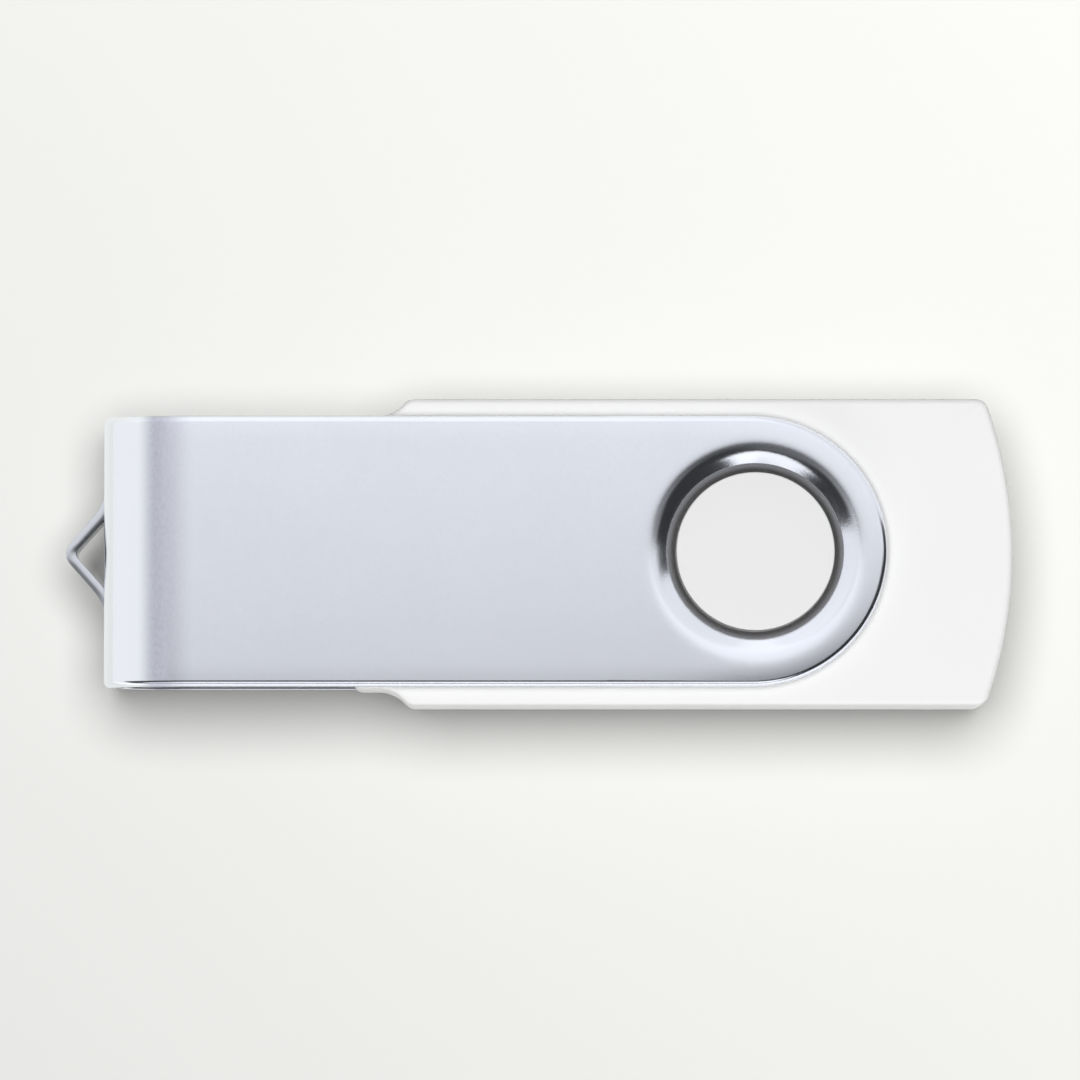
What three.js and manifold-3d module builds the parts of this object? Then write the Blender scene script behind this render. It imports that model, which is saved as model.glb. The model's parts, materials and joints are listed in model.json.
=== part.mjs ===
// USB flash drive with a swivel cover.
//
// A stamped U of aluminium sheet turns all the way round two round bosses, one on each half
// of a moulded housing. The housing holds a circuit board with a USB type A plug on its front.
//
// Millimetres, +Z up. Everything is drawn about the swivel axis, at mid thickness, with the
// plug pointing to -X. The group then moves it so that the origin is the centre of the
// underside of the whole object.
import * as THREE from "three";
import { mergeVertices } from "three/addons/utils/BufferGeometryUtils.js";
import Module from "manifold-3d";

const wasm = await Module();
wasm.setup();

// ---------------------------------------------------------------- driving dimensions

const COVER = {
  sheet: 0.8, // thickness of the metal
  halfWidth: 8.3,
  outerZ: 5.2, // outer face of each arm
  wallX: -40.0, // outer face of the end wall
  bendLength: 4.8, // how far along the arm each bend starts, from the end wall
  bendHeight: 2.6, // how far down the end wall it reaches
  armEndShift: -0.2, // centre of the arm's round end, from the swivel axis
  cornerRadius: 0.5, // corners of the end wall, seen from above
  holeRadius: 5.05,
  lipRadius: 5.42, // where the sheet starts to turn down into the hole
  lipEdge: 0.1, // rounding at the top of the lip
  dimpleGradient: 0.62, // slope of the dished ring beside the lip
  halfSlopeRadius: 6.22, // where it has half that slope
  slopeSoftness: 0.16, // how gradually it steepens
  insideShift: 0.3, // how much further out the underside of the ring slopes
  dimpleRadius: 7.4, // where the flat of the arm starts to sink
  collarSheet: 0.6, // thickness of the collar that lines the hole
  lipDepth: 0.95, // height of the collar
};

const LOOP = {
  rootY: 3.05, // where each leg would meet the end wall's face
  anchor: 0.95, // how far past that the strap stays joined to the wall
  slope: 1.125, // sideways travel of a leg for each millimetre outwards
  fillet: 0.9, // how far each way the leg's foot is rounded
  tipX: -42.4,
  halfHeight: 1.6,
  innerPoint: 0.25, // half the length over which the inside of the point is rounded
  slit: 0.05, // cut between the strap and the wall it was pushed out of
};

const HOUSING = {
  halfThickness: 4.2,
  halfWidth: 9.4,
  noseHalfWidth: 8.36,
  frontX: -24.7,
  rearX: 15.8,
  rearRadius: 27.0,
  shoulderX: -23.2, // where the nose starts to widen
  shoulderInner: 2.2, // radius at the foot of the shoulder
  shoulderOuter: 0.9, // radius at the top of the shoulder
  cornerRadius: 0.8,
  noseCorner: 0.5,
  edgeRadius: 0.35,
  leastRadius: 0.2, // of the corners of an outline drawn inside the edge
  wall: 1.5,
  cavityZ: 2.4,
  seam: 0.02, // half the gap between the two halves
};

const BOSS = {
  radius: 4.85,
  topZ: 5.05,
  edge: 0.15,
  coreRadius: 3.4,
  coreZ: 4.0,
  grooveRadius: 7.6,
  grooveZ: 3.3,
};

const LIP = { outerInset: 0.85, height: 0.6, clearance: 0.1 };

const PINS = {
  at: [
    [-15.6, 7.2],
    [-15.6, -7.2],
    [12.7, 5.4],
    [12.7, -5.4],
  ],
  radius: 0.5,
  rootRadius: 0.95,
  postRadius: 1.05,
  boreRadius: 0.6,
  pinEndZ: -1.7,
  boreEndZ: -1.9,
  postTopZ: -0.8,
};

const RIBS = { stations: [-12, -3, 7], halfWidth: 0.5, innerY: 6.4, gap: 0.03 };

const PLUG = {
  tipX: -38.2,
  rearX: -19.6,
  halfWidth: 6.0,
  halfHeight: 2.25,
  sheet: 0.3,
  cornerRadius: 0.55,
  window: { x: 5.2, length: 1.95, y: 2.25, width: 2.5 },
  tab: { rearX: -17.4, lowZ: -1.5, highZ: 0.4 },
  slotClearance: 0.08,
};

const TONGUE = {
  frontX: -37.7,
  blockX: -23.0,
  rearX: -20.0,
  topZ: -0.05,
  clearance: 0.07,
};

const CONTACTS = {
  width: 1.0,
  thickness: 0.25,
  rearX: -17.8,
  powerStartX: -36.5,
  dataStartX: -35.5,
  channelClearance: 0.03,
};

const BOARD = {
  frontX: -19.9,
  rearX: 11.5,
  halfWidth: 7.2,
  topZ: -CONTACTS.thickness,
  thickness: 0.8,
  cornerRadius: 0.6,
  notchRadius: 1.3,
  tabSlotClearance: 0.08,
};

const FLASH = {
  x: -4.0,
  length: 18.4,
  width: 12.0,
  height: 1.0,
  standoff: 0.1,
  leadsPerSide: 24,
  pitch: 0.5,
  leadWidth: 0.22,
  leadReach: 0.8,
  leadShoulder: 0.2, // how far a lead runs straight out of the body
  leadHeel: 0.4, // where it comes down on the board
  leadLean: 0.1, // how far its upper face is set off from its lower one on the slope
  leadSheet: 0.14,
};

const ROUND = 40; // facets in a full turn
const OVERLAP = 0.05; // how far joined pieces run into each other before they are merged
const CLEAR = 1; // how far a cutting tool reaches past the faces it opens
const BEYOND = 20; // half of a cutting tool that goes right through

// ---------------------------------------------------------------- solids

// A closed geometry as a manifold solid with its faces pointing out.
function solid(geometry) {
  geometry.deleteAttribute("normal");
  geometry.deleteAttribute("uv");
  const merged = mergeVertices(geometry, 1e-4);
  const index = merged.index.array;
  const corners = [];
  for (let i = 0; i < index.length; i += 3) {
    const [a, b, c] = [index[i], index[i + 1], index[i + 2]];
    if (a !== b && b !== c && c !== a) corners.push([a, b, c]);
  }
  const build = (list) =>
    new wasm.Manifold(
      new wasm.Mesh({
        numProp: 3,
        vertProperties: merged.attributes.position.array,
        triVerts: new Uint32Array(list.flat()),
      }),
    );
  const made = build(corners);
  return made.volume() < 0 ? build(corners.map(([a, b, c]) => [a, c, b])) : made;
}

function geometryOf(manifold) {
  const mesh = manifold.getMesh();
  const position = new Float32Array(mesh.numVert * 3);
  for (let i = 0; i < mesh.numVert; i++) {
    position.set(mesh.vertProperties.subarray(i * mesh.numProp, i * mesh.numProp + 3), i * 3);
  }
  const geometry = new THREE.BufferGeometry();
  geometry.setAttribute("position", new THREE.BufferAttribute(position, 3));
  geometry.setIndex(new THREE.BufferAttribute(mesh.triVerts, 1));
  const faceted = geometry.toNonIndexed();
  faceted.computeVertexNormals();
  return faceted;
}

function block([x0, x1], [y0, y1], [z0, z1]) {
  const box = new THREE.BoxGeometry(x1 - x0, y1 - y0, z1 - z0);
  return solid(box.translate((x0 + x1) / 2, (y0 + y1) / 2, (z0 + z1) / 2));
}

// A shape drawn in plan, standing between two heights.
function prism(shape, z0, z1, curveSegments = 3) {
  const extruded = new THREE.ExtrudeGeometry(shape, {
    depth: z1 - z0,
    bevelEnabled: false,
    curveSegments,
  });
  return solid(extruded.translate(0, 0, z0));
}

// A shape drawn in side view, with X across and Z up, as wide as y0 to y1.
function sideProfile(shape, y0, y1, curveSegments = 4) {
  const extruded = new THREE.ExtrudeGeometry(shape, {
    depth: y1 - y0,
    bevelEnabled: false,
    curveSegments,
  });
  return solid(extruded.rotateX(Math.PI / 2).translate(0, y1, 0));
}

// A closed profile of [radius, z] points turned about a vertical axis at x, y.
function turned(profile, x = 0, y = 0, segments = ROUND) {
  const points = [...profile, profile[0]].map(([r, z]) => new THREE.Vector2(r, z));
  const lathe = new THREE.LatheGeometry(points, segments);
  return solid(lathe.rotateX(Math.PI / 2).translate(x, y, 0));
}

function post(x, y, radius, z0, z1, segments = 12) {
  return turned([[0, z0], [radius, z0], [radius, z1], [0, z1]], x, y, segments);
}

function polygon(points) {
  return new THREE.Shape(points.map(([x, y]) => new THREE.Vector2(x, y)));
}

function roundedRectangle(x0, x1, y0, y1, r) {
  const shape = new THREE.Shape();
  shape.absarc(x1 - r, y1 - r, r, 0, Math.PI / 2, false);
  shape.absarc(x0 + r, y1 - r, r, Math.PI / 2, Math.PI, false);
  shape.absarc(x0 + r, y0 + r, r, Math.PI, 1.5 * Math.PI, false);
  shape.absarc(x1 - r, y0 + r, r, 1.5 * Math.PI, 2 * Math.PI, false);
  shape.closePath();
  return shape;
}

const joined = (first, ...rest) => rest.reduce((made, piece) => made.add(piece), first);
const cut = (first, ...rest) => rest.reduce((made, tool) => made.subtract(tool), first);
const upsideDown = (manifold) => manifold.mirror([0, 0, 1]);

// ---------------------------------------------------------------- swivel cover

// The bent sheet in side view: two arms, two bends and the end wall.
function coverProfile() {
  const { sheet, outerZ, wallX, bendLength, bendHeight, halfWidth, armEndShift } = COVER;
  const armEnd = armEndShift + halfWidth;
  const bendX = wallX + bendLength;
  const bendZ = outerZ - bendHeight;
  const outer = [bendLength, bendHeight];
  const inner = [bendLength - sheet, bendHeight - sheet];
  const shape = new THREE.Shape();
  shape.moveTo(armEnd, outerZ);
  shape.lineTo(bendX, outerZ);
  shape.absellipse(bendX, bendZ, ...outer, Math.PI / 2, Math.PI, false);
  shape.absellipse(bendX, -bendZ, ...outer, Math.PI, 1.5 * Math.PI, false);
  shape.lineTo(armEnd, -outerZ);
  shape.lineTo(armEnd, sheet - outerZ);
  shape.absellipse(bendX, -bendZ, ...inner, 1.5 * Math.PI, Math.PI, true);
  shape.absellipse(bendX, bendZ, ...inner, Math.PI, Math.PI / 2, true);
  shape.lineTo(armEnd, outerZ - sheet);
  shape.closePath();
  return shape;
}

// The blank in plan: parallel sides and a round end about the swivel axis.
function coverPlan() {
  const { halfWidth, armEndShift, wallX, cornerRadius: r } = COVER;
  const shape = new THREE.Shape();
  shape.absarc(armEndShift, 0, halfWidth, -Math.PI / 2, Math.PI / 2, false);
  shape.absarc(wallX + r, halfWidth - r, r, Math.PI / 2, Math.PI, false);
  shape.absarc(wallX + r, r - halfWidth, r, Math.PI, 1.5 * Math.PI, false);
  shape.closePath();
  return shape;
}

// How far the sheet has sunk at a radius: flat outside, easing into an even slope.
function dimpleSink(radius, halfSlopeRadius = COVER.halfSlopeRadius) {
  const { dimpleGradient, slopeSoftness } = COVER;
  const bend = Math.log1p(Math.exp((halfSlopeRadius - radius) / slopeSoftness));
  return dimpleGradient * slopeSoftness * bend;
}

// The dished ring round the hole of the upper arm, ending in a short collar.
function dimpleRing() {
  const { sheet, outerZ, holeRadius, lipRadius, lipEdge, lipDepth, collarSheet } = COVER;
  const { halfSlopeRadius, insideShift, dimpleRadius } = COVER;
  const slopeSteps = 6;
  const crowding = 1.5; // draws the steps together where the slope is steep
  const joint = dimpleRadius + 2 * OVERLAP;
  const lipZ = outerZ - dimpleSink(lipRadius);
  const collarZ = lipZ - lipDepth;
  const collarOuter = holeRadius + collarSheet;

  const outside = [[joint, outerZ]];
  const inside = [[joint, outerZ - sheet]];
  for (let i = 0; i <= slopeSteps; i++) {
    const t = (1 - i / slopeSteps) ** crowding;
    const outsideRadius = lipRadius + (dimpleRadius - lipRadius) * t;
    const insideRadius = collarOuter + (dimpleRadius - collarOuter) * t;
    const insideSink = dimpleSink(insideRadius, halfSlopeRadius + insideShift);
    outside.push([outsideRadius, outerZ - dimpleSink(outsideRadius)]);
    inside.push([insideRadius, outerZ - sheet - insideSink]);
  }
  const lip = [[lipRadius - lipEdge, lipZ - lipEdge]];
  const collar = [[holeRadius, collarZ], [collarOuter, collarZ]];
  return turned([...outside, ...lip, ...collar, ...inside.reverse()]);
}

// The keyring loop in plan: a strap pushed out of the end wall into a pointed arch.
function loopPlan() {
  const { rootY, anchor, slope, fillet, tipX, innerPoint } = LOOP;
  const { wallX, sheet } = COVER;
  const innerX = wallX + sheet;
  const anchorY = rootY + anchor;
  const onOuterLeg = (y) => [wallX - (rootY - y) / slope, y];
  const onInnerLeg = (y) => [innerX - (rootY - y) / slope, y];
  const [pointX] = onOuterLeg(0);
  const tipY = slope * 2 * (tipX - pointX);

  const shape = new THREE.Shape();
  shape.moveTo(innerX, anchorY);
  shape.lineTo(wallX, anchorY);
  shape.lineTo(wallX, rootY + fillet);
  shape.quadraticCurveTo(wallX, rootY, ...onOuterLeg(rootY - fillet));
  shape.lineTo(...onOuterLeg(tipY));
  shape.quadraticCurveTo(pointX, 0, onOuterLeg(tipY)[0], -tipY);
  shape.lineTo(onOuterLeg(rootY - fillet)[0], fillet - rootY);
  shape.quadraticCurveTo(wallX, -rootY, wallX, -rootY - fillet);
  shape.lineTo(wallX, -anchorY);
  shape.lineTo(innerX, -anchorY);
  shape.lineTo(innerX, -rootY);
  shape.lineTo(onInnerLeg(innerPoint)[0], -innerPoint);
  shape.quadraticCurveTo(onInnerLeg(0)[0], 0, ...onInnerLeg(innerPoint));
  shape.lineTo(innerX, rootY);
  shape.closePath();
  return shape;
}

function swivelCover() {
  const { halfWidth, outerZ, wallX, sheet, dimpleRadius } = COVER;
  const bent = sideProfile(coverProfile(), -halfWidth - CLEAR, halfWidth + CLEAR, 5);
  const blank = bent.intersect(prism(coverPlan(), -outerZ - CLEAR, outerZ + CLEAR, 10));
  const seat = post(0, 0, dimpleRadius, -BEYOND, BEYOND, ROUND);
  const upperRing = dimpleRing();

  const windowY = LOOP.rootY + LOOP.anchor - OVERLAP;
  const windowZ = LOOP.halfHeight + LOOP.slit;
  const window = block(
    [wallX - CLEAR, wallX + sheet + CLEAR],
    [-windowY, windowY],
    [-windowZ, windowZ],
  );
  const strap = prism(loopPlan(), -LOOP.halfHeight, LOOP.halfHeight, 4);
  return joined(cut(blank, seat, window), upperRing, upsideDown(upperRing), strap);
}

// ---------------------------------------------------------------- housing

// The housing in plan, drawn inside its outer edge by inset.
function housingPlan(inset = 0) {
  const h = HOUSING;
  const front = h.frontX + inset;
  const nose = h.noseHalfWidth - inset;
  const half = h.halfWidth - inset;
  const noseCorner = Math.max(h.noseCorner - inset, h.leastRadius);
  const foot = h.shoulderInner + inset; // centred outside the housing
  const crest = Math.max(h.shoulderOuter - inset, h.leastRadius);
  const corner = Math.max(h.cornerRadius - inset, h.leastRadius);
  const rear = h.rearRadius - inset;
  const rearCentre = h.rearX - h.rearRadius;

  // two arcs make the shoulder, with a ramp of up to 45 degrees between them
  const turn = Math.min(Math.PI / 4, Math.acos(1 - (half - nose) / (foot + crest)));
  const ramp = half - nose - (foot + crest) * (1 - Math.cos(turn));
  const crestX = h.shoulderX + (foot + crest) * Math.sin(turn) + ramp / Math.tan(turn);
  const cornerY = half - corner;
  const cornerX = rearCentre + Math.sqrt((rear - corner) ** 2 - cornerY ** 2);
  const sweep = Math.atan2(cornerY, cornerX - rearCentre);

  const shape = new THREE.Shape();
  shape.absarc(rearCentre, 0, rear, -sweep, sweep, false);
  shape.absarc(cornerX, cornerY, corner, sweep, Math.PI / 2, false);
  shape.absarc(crestX, half - crest, crest, Math.PI / 2, Math.PI / 2 + turn, false);
  shape.absarc(h.shoulderX, nose + foot, foot, -turn, -Math.PI / 2, true);
  shape.absarc(front + noseCorner, nose - noseCorner, noseCorner, Math.PI / 2, Math.PI, false);
  shape.absarc(front + noseCorner, noseCorner - nose, noseCorner, Math.PI, 1.5 * Math.PI, false);
  shape.absarc(h.shoulderX, -nose - foot, foot, Math.PI / 2, turn, true);
  shape.absarc(crestX, crest - half, crest, -Math.PI / 2 - turn, -Math.PI / 2, false);
  shape.absarc(cornerX, -cornerY, corner, -Math.PI / 2, -sweep, false);
  shape.closePath();
  return shape;
}

// The whole housing as a slab with rounded upper and lower edges.
function housingSlab() {
  const { halfThickness, edgeRadius } = HOUSING;
  const extruded = new THREE.ExtrudeGeometry(housingPlan(), {
    depth: 2 * (halfThickness - edgeRadius),
    bevelThickness: edgeRadius,
    bevelSize: edgeRadius,
    bevelOffset: -edgeRadius,
    bevelSegments: 2,
    curveSegments: 3,
  });
  return solid(extruded.translate(0, 0, edgeRadius - halfThickness));
}

// What both halves have: the shell above the seam, open underneath, with its round boss.
function housingHalf() {
  const { seam, wall, cavityZ, frontX } = HOUSING;
  const slot = PLUG.slotClearance;
  const slotY = PLUG.halfWidth + slot;
  const slotZ = PLUG.halfHeight + slot;
  const above = block([-BEYOND * 2, BEYOND * 2], [-BEYOND, BEYOND], [seam, BEYOND]);
  const cavity = prism(housingPlan(wall), -CLEAR, cavityZ);
  const mouth = block([frontX - CLEAR, frontX + wall + CLEAR], [-slotY, slotY], [-CLEAR, slotZ]);
  const groove = turned([
    [BOSS.radius, BOSS.grooveZ],
    [BOSS.grooveRadius, BOSS.grooveZ],
    [BOSS.grooveRadius, BOSS.topZ],
    [BOSS.radius, BOSS.topZ],
  ]);
  const boss = turned([
    [0, BOSS.grooveZ],
    [BOSS.radius, BOSS.grooveZ],
    [BOSS.radius, BOSS.topZ - BOSS.edge],
    [BOSS.radius - BOSS.edge, BOSS.topZ],
    [0, BOSS.topZ],
  ]);
  const core = post(0, 0, BOSS.coreRadius, 0, BOSS.coreZ, ROUND);
  const shell = cut(housingSlab().intersect(above), cavity, mouth, groove);
  return cut(shell.add(boss), core);
}

function ribs(z0, z1) {
  const outerY = HOUSING.halfWidth - HOUSING.wall + OVERLAP;
  return RIBS.stations.flatMap((x) =>
    [-1, 1].map((side) =>
      block(
        [x - RIBS.halfWidth, x + RIBS.halfWidth],
        side > 0 ? [RIBS.innerY, outerY] : [-outerY, -RIBS.innerY],
        [z0, z1],
      ),
    ),
  );
}

function housingTop() {
  const ceiling = HOUSING.cavityZ + OVERLAP;
  const lipTop = HOUSING.seam + OVERLAP;
  const lip = cut(
    prism(housingPlan(LIP.outerInset), -LIP.height, lipTop),
    prism(housingPlan(HOUSING.wall), -CLEAR, CLEAR),
    block(
      [HOUSING.frontX - CLEAR, HOUSING.frontX + HOUSING.wall + CLEAR],
      [-PLUG.halfWidth - PLUG.slotClearance, PLUG.halfWidth + PLUG.slotClearance],
      [-CLEAR, CLEAR],
    ),
  );
  const pins = PINS.at.flatMap(([x, y]) => [
    post(x, y, PINS.rootRadius, 0, ceiling),
    post(x, y, PINS.radius, PINS.pinEndZ, ceiling),
  ]);
  return joined(housingHalf(), lip, ...pins, ...ribs(BOARD.topZ + RIBS.gap, ceiling));
}

function housingBottom() {
  const floor = -HOUSING.cavityZ - OVERLAP;
  const boardUnderside = BOARD.topZ - BOARD.thickness;
  const rabbet = prism(
    housingPlan(LIP.outerInset - LIP.clearance),
    -LIP.height - LIP.clearance,
    CLEAR,
  );
  const posts = PINS.at.map(([x, y]) => post(x, y, PINS.postRadius, floor, PINS.postTopZ));
  const bores = PINS.at.map(([x, y]) => post(x, y, PINS.boreRadius, PINS.boreEndZ, 0));
  const shell = cut(upsideDown(housingHalf()), rabbet);
  return cut(joined(shell, ...posts, ...ribs(floor, boardUnderside - RIBS.gap)), ...bores);
}

// ---------------------------------------------------------------- plug

function plugSection(inset, x0, x1) {
  const { halfWidth: w, halfHeight: h, cornerRadius: r } = PLUG;
  const shape = roundedRectangle(inset - w, w - inset, inset - h, h - inset, r - inset);
  const extruded = new THREE.ExtrudeGeometry(shape, {
    depth: x1 - x0,
    bevelEnabled: false,
    curveSegments: 2,
  });
  // drawn with Y across and Z up, then run along X
  return solid(extruded.rotateX(Math.PI / 2).rotateZ(Math.PI / 2).translate(x0, 0, 0));
}

function plugShell() {
  const { tipX, rearX, sheet, halfWidth, window, tab } = PLUG;
  const bore = plugSection(sheet, tipX - CLEAR, rearX + CLEAR);
  const tube = cut(plugSection(0, tipX, rearX), bore);
  const windows = [-1, 1].map((side) => {
    const centre = side * window.y;
    return block(
      [tipX + window.x, tipX + window.x + window.length],
      [centre - window.width / 2, centre + window.width / 2],
      [-BEYOND, BEYOND],
    );
  });
  const tabs = [-1, 1].map((side) => {
    const faces = [side * halfWidth, side * (halfWidth - sheet)].sort((a, b) => a - b);
    return block([rearX - OVERLAP, tab.rearX], faces, [tab.lowZ, tab.highZ]);
  });
  return joined(cut(tube, ...windows), ...tabs);
}

const CONTACT_ROW = [
  { name: "usb_contact_power", y: -3.5, startX: CONTACTS.powerStartX },
  { name: "usb_contact_data_minus", y: -1.0, startX: CONTACTS.dataStartX },
  { name: "usb_contact_data_plus", y: 1.0, startX: CONTACTS.dataStartX },
  { name: "usb_contact_ground", y: 3.5, startX: CONTACTS.powerStartX },
];

function contactStrip({ y, startX }, clearance = 0) {
  const half = CONTACTS.width / 2 + clearance;
  return block(
    [startX - clearance, CONTACTS.rearX],
    [y - half, y + half],
    [-CONTACTS.thickness - clearance, clearance],
  );
}

function plugInsulator() {
  const half = PLUG.halfWidth - PLUG.sheet - TONGUE.clearance;
  const height = PLUG.halfHeight - PLUG.sheet - TONGUE.clearance;
  const tongue = block([TONGUE.frontX, TONGUE.rearX], [-half, half], [-height, TONGUE.topZ]);
  const rearBlock = block([TONGUE.blockX, TONGUE.rearX], [-half, half], [-height, height]);
  const channels = CONTACT_ROW.map((c) => contactStrip(c, CONTACTS.channelClearance));
  return cut(tongue.add(rearBlock), ...channels);
}

// ---------------------------------------------------------------- circuit board

function circuitBoard() {
  const { frontX, rearX, halfWidth, topZ, thickness, cornerRadius, notchRadius } = BOARD;
  const plan = roundedRectangle(frontX, rearX, -halfWidth, halfWidth, cornerRadius);
  const blank = prism(plan, topZ - thickness, topZ);
  const notches = PINS.at.slice(0, 2).map(([x, y]) => post(x, y, notchRadius, -BEYOND, BEYOND));
  const gap = BOARD.tabSlotClearance;
  const tabSlots = [-1, 1].map((side) => {
    const outer = side * (PLUG.halfWidth + gap);
    const inner = side * (PLUG.halfWidth - PLUG.sheet - gap);
    return block(
      [frontX - CLEAR, PLUG.tab.rearX + gap],
      [outer, inner].sort((a, b) => a - b),
      [-BEYOND, BEYOND],
    );
  });
  return cut(blank, ...notches, ...tabSlots);
}

// A leaded package seen from the side: out of the body, down and along the board.
function gullWingLead(standHeight) {
  const { leadReach, leadShoulder, leadHeel, leadLean, leadSheet } = FLASH;
  const rootX = -2 * OVERLAP;
  return polygon([
    [rootX, standHeight],
    [leadShoulder, standHeight],
    [leadHeel, 0],
    [leadReach, 0],
    [leadReach, leadSheet],
    [leadHeel + leadLean, leadSheet],
    [leadShoulder + leadLean, standHeight + leadSheet],
    [rootX, standHeight + leadSheet],
  ]);
}

// Drawn standing on z = 0 with its leads at both ends, then hung under the board.
function flashChip() {
  const { length, width, height, standoff, leadsPerSide, pitch, leadWidth } = FLASH;
  const body = block(
    [-length / 2, length / 2],
    [-width / 2, width / 2],
    [standoff, standoff + height],
  );
  const profile = gullWingLead(standoff + height / 2);
  const row = Array.from({ length: leadsPerSide }, (_, i) => {
    const y = (i - (leadsPerSide - 1) / 2) * pitch;
    return sideProfile(profile, y - leadWidth / 2, y + leadWidth / 2);
  });
  const rightEnd = joined(...row).translate([length / 2, 0, 0]);
  const standing = joined(body, rightEnd, rightEnd.mirror([1, 0, 0]));
  return upsideDown(standing).translate([FLASH.x, 0, BOARD.topZ - BOARD.thickness]);
}

// A small box part standing on the board, with raised metal ends across its long way.
function chipPart({ x, y, length, width, height, turn = 0, endLength = 0.3, endRise = 0.03 }) {
  const body = block([-length / 2, length / 2], [-width / 2, width / 2], [endRise, height]);
  const ends = [-1, 1].map((side) => {
    const span = [side * (length / 2 - endLength), side * (length / 2 + endRise)];
    return block(
      span.sort((a, b) => a - b),
      [-width / 2 - endRise, width / 2 + endRise],
      [0, height + endRise],
    );
  });
  const standing = endLength > 0 ? joined(body, ...ends) : body;
  return standing.rotate([0, 0, turn]).translate([x, y, BOARD.topZ]);
}

// ---------------------------------------------------------------- materials

const standard = (color, roughness, metalness) =>
  new THREE.MeshStandardMaterial({ color, roughness, metalness });

const MATERIALS = {
  satinAluminium: standard(0xd9dce8, 0.35, 1.0),
  whitePlastic: standard(0xf2f2f2, 0.45, 0.0),
  platedSteel: standard(0xc9ccd1, 0.25, 1.0),
  blackNylon: standard(0x17181a, 0.5, 0.0),
  gold: standard(0xe3b85a, 0.25, 1.0),
  boardGreen: standard(0x17532f, 0.45, 0.0),
  chipBlack: standard(0x1c1d1f, 0.6, 0.0),
  canMetal: standard(0xc2c4c6, 0.3, 1.0),
  ledLens: standard(0xe9efe2, 0.3, 0.0),
  resistorBlack: standard(0x222428, 0.5, 0.0),
  capacitorTan: standard(0xa88a66, 0.55, 0.0),
  ferriteGrey: standard(0x55575a, 0.6, 0.0),
};

// ---------------------------------------------------------------- assembly

function part(name, manifold, material) {
  const mesh = new THREE.Mesh(geometryOf(manifold), material);
  mesh.name = name;
  return mesh;
}

// The 1.6 by 0.8 mm chip size that most of the small parts share.
const SMALL = { length: 1.6, width: 0.8, height: 0.45 };
const CAPACITORS = [
  { x: -16.0, y: 3.6 },
  { x: -14.2, y: 3.4, turn: 90 },
  { x: -11.9, y: 5.0, turn: 90 },
  { x: -4.4, y: -3.2, turn: 90 },
  { x: -4.4, y: 0, turn: 90 },
  { x: -4.4, y: 3.2, turn: 90 },
];

const drive = new THREE.Group();
drive.add(part("housing_top", housingTop(), MATERIALS.whitePlastic));
drive.add(part("housing_bottom", housingBottom(), MATERIALS.whitePlastic));
drive.add(part("usb_plug_shell", plugShell(), MATERIALS.platedSteel));
drive.add(part("usb_plug_insulator", plugInsulator(), MATERIALS.blackNylon));
for (const contact of CONTACT_ROW) {
  drive.add(part(contact.name, contactStrip(contact), MATERIALS.gold));
}
drive.add(part("circuit_board", circuitBoard(), MATERIALS.boardGreen));
drive.add(part("flash_memory_chip", flashChip(), MATERIALS.chipBlack));
drive.add(
  part(
    "controller_chip",
    chipPart({ x: -9, y: 0, length: 6, width: 6, height: 0.85, endLength: 0 }),
    MATERIALS.chipBlack,
  ),
);
drive.add(
  part(
    "crystal",
    chipPart({ x: -8.6, y: 5.0, length: 3.2, width: 2.5, height: 0.8, endLength: 0 }),
    MATERIALS.canMetal,
  ),
);
drive.add(part("activity_led", chipPart({ ...SMALL, x: 9.4, y: 0 }), MATERIALS.ledLens));
drive.add(part("led_resistor", chipPart({ ...SMALL, x: 6.6, y: 0 }), MATERIALS.resistorBlack));
drive.add(part("ferrite_bead", chipPart({ ...SMALL, x: -16, y: -3.5 }), MATERIALS.ferriteGrey));
[-1, 1].forEach((y, i) => {
  const resistor = chipPart({ ...SMALL, x: -16, y });
  drive.add(part(`data_resistor_${i + 1}`, resistor, MATERIALS.resistorBlack));
});
CAPACITORS.forEach((place, i) => {
  const capacitor = chipPart({ ...SMALL, height: 0.7, ...place });
  drive.add(part(`capacitor_${i + 1}`, capacitor, MATERIALS.capacitorTan));
});

const cover = new THREE.Group();
cover.add(part("swivel_cover", swivelCover(), MATERIALS.satinAluminium));

const usbDrive = new THREE.Group();
usbDrive.add(drive, cover);
usbDrive.position.set(-(LOOP.tipX + HOUSING.rearX) / 2, 0, COVER.outerZ);

export default usbDrive;
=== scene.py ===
import json
import math

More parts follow.
